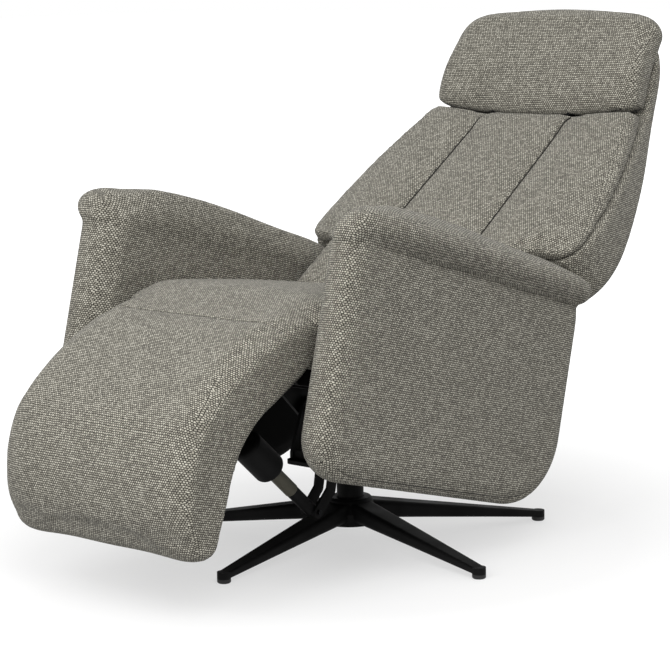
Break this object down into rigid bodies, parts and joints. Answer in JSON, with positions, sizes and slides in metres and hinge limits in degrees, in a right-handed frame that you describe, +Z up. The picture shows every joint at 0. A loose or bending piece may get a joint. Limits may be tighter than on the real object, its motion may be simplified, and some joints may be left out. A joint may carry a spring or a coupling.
{
  "type": "swivel recliner",
  "caption": "Upholstered swivel recliner on a star base, half reclined, with padded arms, a channelled back, a tilting headrest and a raised footrest.",
  "frame": {"origin": "swivel axis at floor level", "axes": "+Z up, the sitter faces -Y, +X to the sitter's left"},
  "size_m": [0.7836, 1.4398, 1.0193],
  "materials": {
    "woven_upholstery": "coarse grey-taupe weave",
    "black_cloth": "plain black cloth",
    "black_metal": "black powder coat",
    "steel": "plain steel",
    "plywood": "raw plywood",
    "black_plastic": "moulded",
    "grey_sleeve": "plain olive-grey sleeve"
  },
  "bodies": {
    "base": {"star_base": "black_metal", "foot_glides": "black_plastic", "column_tube": "black_metal", "column_bushes": "black_plastic"},
    "carriage": {"swivel_spindle": "steel", "spindle_clip": "steel", "carriage_plate": "black_metal", "carriage_cheek_left": "black_metal", "carriage_cheek_right": "black_metal", "tilt_pins": "steel", "carriage_bolts": "steel"},
    "seat_unit": {"seat_frame": "black_metal", "strut_bracket": "black_metal", "strut_pin": "steel", "recline_plate_left": "black_metal", "recline_plate_right": "black_metal", "recline_pins": "steel", "recline_washers": "black_plastic", "seat_webbing": "black_cloth", "seat_cushion": "woven_upholstery", "arm_panel_left": "woven_upholstery", "arm_panel_right": "woven_upholstery", "arm_board_left": "plywood", "arm_board_right": "plywood", "arm_pad_left": "woven_upholstery", "arm_pad_right": "woven_upholstery", "arm_lining_left": "black_cloth", "arm_lining_right": "black_cloth", "arm_spacers": "steel", "arm_bolts": "steel", "footrest_pins": "steel"},
    "footrest": {"footrest_pad": "woven_upholstery", "footrest_board": "plywood", "footrest_levers": "black_metal", "footrest_cross_tube": "black_metal", "footrest_crank": "black_metal"},
    "backrest": {"back_frame": "black_metal", "back_shell": "woven_upholstery", "back_cushion": "woven_upholstery", "back_panels": "plywood", "headrest_pins": "steel"},
    "headrest": {"headrest_pad": "woven_upholstery", "headrest_plate": "black_metal"},
    "strut_body": {"strut_cylinder": "black_metal", "strut_sleeve": "grey_sleeve"},
    "strut_piston": {"strut_rod": "steel"}
  },
  "joints": [
    {"name": "swivel", "type": "hinge", "parent": "base", "child": "carriage", "pos_m": [0, 0, 0], "axis": [0, 0, 1], "continuous": true},
    {"name": "seat_tilt", "type": "hinge", "parent": "carriage", "child": "seat_unit", "pos_m": [0, 0, 0.25], "axis": [-1, 0, 0], "range_deg": [-4, 3]},
    {"name": "back_recline", "type": "hinge", "parent": "seat_unit", "child": "backrest", "pos_m": [0, 0.16966, 0.40021], "axis": [-1, 0, 0], "range_deg": [-24, 8]},
    {"name": "headrest_tilt", "type": "hinge", "parent": "backrest", "child": "headrest", "pos_m": [0, 0.61111, 0.81854], "axis": [1, 0, 0], "range_deg": [0, 16]},
    {"name": "footrest_swing", "type": "hinge", "parent": "seat_unit", "child": "footrest", "pos_m": [0, -0.37587, 0.45838], "axis": [-1, 0, 0], "range_deg": [-22, 24]},
    {"name": "strut_pivot", "type": "hinge", "parent": "seat_unit", "child": "strut_body", "pos_m": [0.04, -0.157, 0.09], "axis": [-1, 0, 0], "range_deg": [-3.05, 2.88]},
    {"name": "strut_slide", "type": "slide", "parent": "strut_body", "child": "strut_piston", "axis": [0, -0.7451, 0.6669], "range_m": [-0.04891, 0.05327]}
  ],
  "couplings": [
    {"joint": "strut_pivot", "follows": "footrest_swing", "ratio": -0.08525},
    {"joint": "strut_slide", "follows": "footrest_swing", "m_per_rad": 0.12477}
  ]
}
